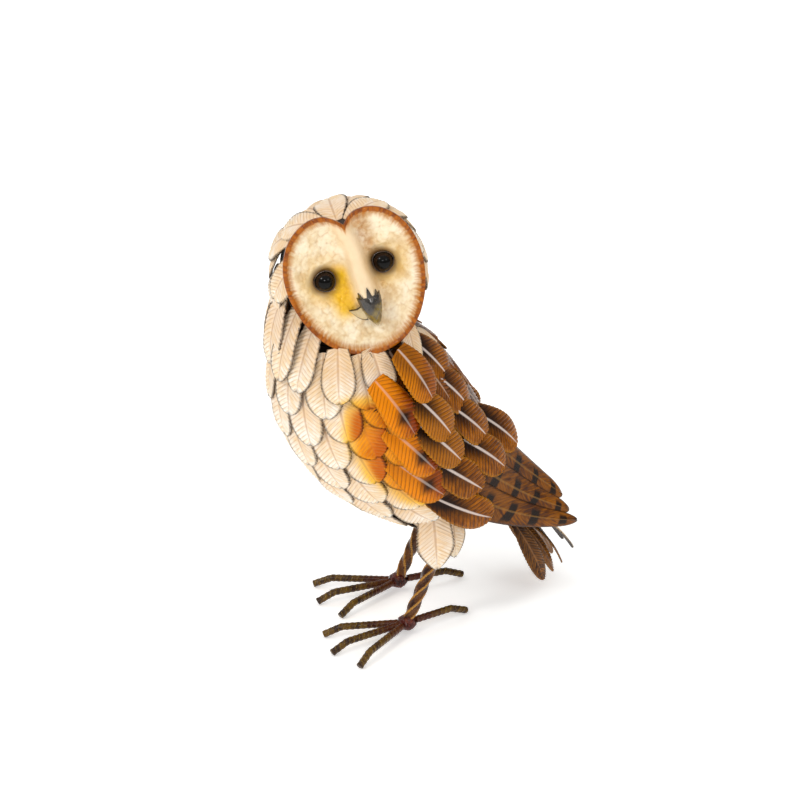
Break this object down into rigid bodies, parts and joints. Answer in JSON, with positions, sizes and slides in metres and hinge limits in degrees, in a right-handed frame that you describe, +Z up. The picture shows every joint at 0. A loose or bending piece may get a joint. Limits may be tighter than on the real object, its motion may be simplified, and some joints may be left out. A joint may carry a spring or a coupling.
{
  "type": "owl figurine",
  "caption": "Standing barn owl figurine of painted sheet-metal feathers on a hollow body, with a heart-shaped face, folded wings, twisted legs and rod toes.",
  "frame": {"origin": "on the ground, under the middle of the owl's bounding box", "axes": "+Z up; the body faces -Y; the owl's left side is +X, and its head is turned towards +X"},
  "size_m": [0.1514, 0.256, 0.3574],
  "materials": {
    "dark_steel": "matt dark brown primer, seen only in the gaps between feathers",
    "face_enamel": "gloss cream enamel with a yellow wash round the eyes and an orange-brown rim",
    "beak_horn": "gloss olive to black enamel",
    "eyelid": "gloss near-black enamel",
    "eye_glass": "polished, dark brown with a black pupil",
    "cream_feathers": "satin cream enamel with a tan wash in the barbs",
    "back_feathers": "gloss brown enamel with golden edges",
    "covert_feathers": "gloss orange to brown enamel with dark quills",
    "flight_feathers": "gloss amber-brown enamel with dark bars",
    "tail_feathers": "gloss amber-brown enamel",
    "leg_bronze": "gloss dark bronze paint with gold wear on the edges",
    "weld_bronze": "gloss reddish-brown paint over a weld bead",
    "toe_bronze": "gloss olive-brown paint with gold wear on the ribs"
  },
  "bodies": {
    "root": {"body_shell_left": "dark_steel", "body_shell_right": "dark_steel", "tail_cap": "dark_steel", "leg_plate": "dark_steel", "neck_ring": "dark_steel", "neck_sleeve": "dark_steel", "head_shell": "dark_steel", "facial_disc": "face_enamel", "beak": "beak_horn", "eye_left": "eye_glass", "eye_right": "eye_glass", "eye_cups": "eyelid", "crown_row_1": "cream_feathers", "crown_row_2": "cream_feathers", "crown_row_3": "cream_feathers", "nape_row_1": "cream_feathers", "nape_row_2": "cream_feathers", "nape_row_3": "cream_feathers", "throat_row_1": "cream_feathers", "throat_row_2": "cream_feathers", "breast_row_1": "cream_feathers", "breast_row_2": "cream_feathers", "breast_row_3": "cream_feathers", "breast_row_4": "cream_feathers", "belly_row_1": "cream_feathers", "belly_row_2": "cream_feathers", "belly_row_3": "cream_feathers", "back_row_1": "back_feathers", "back_row_2": "back_feathers", "back_row_3": "back_feathers", "back_row_4": "back_feathers", "back_row_5": "back_feathers", "wing_panel_left": "flight_feathers", "wing_panel_right": "flight_feathers", "covert_row_1_left": "covert_feathers", "covert_row_2_left": "covert_feathers", "covert_row_3_left": "covert_feathers", "covert_row_4_left": "covert_feathers", "covert_row_5_left": "covert_feathers", "covert_row_1_right": "covert_feathers", "covert_row_2_right": "covert_feathers", "covert_row_3_right": "covert_feathers", "covert_row_4_right": "covert_feathers", "covert_row_5_right": "covert_feathers", "thigh_feathers_left": "cream_feathers", "thigh_feathers_right": "cream_feathers", "tail_feathers_left": "tail_feathers", "tail_feathers_right": "tail_feathers", "tail_feathers_middle": "cream_feathers", "leg_left": "leg_bronze", "leg_right": "leg_bronze", "ankle_welds": "weld_bronze", "toe_inner_left": "toe_bronze", "toe_middle_left": "toe_bronze", "toe_outer_left": "toe_bronze", "toe_back_left": "toe_bronze", "toe_inner_right": "toe_bronze", "toe_middle_right": "toe_bronze", "toe_outer_right": "toe_bronze", "toe_back_right": "toe_bronze"}
  },
  "joints": []
}
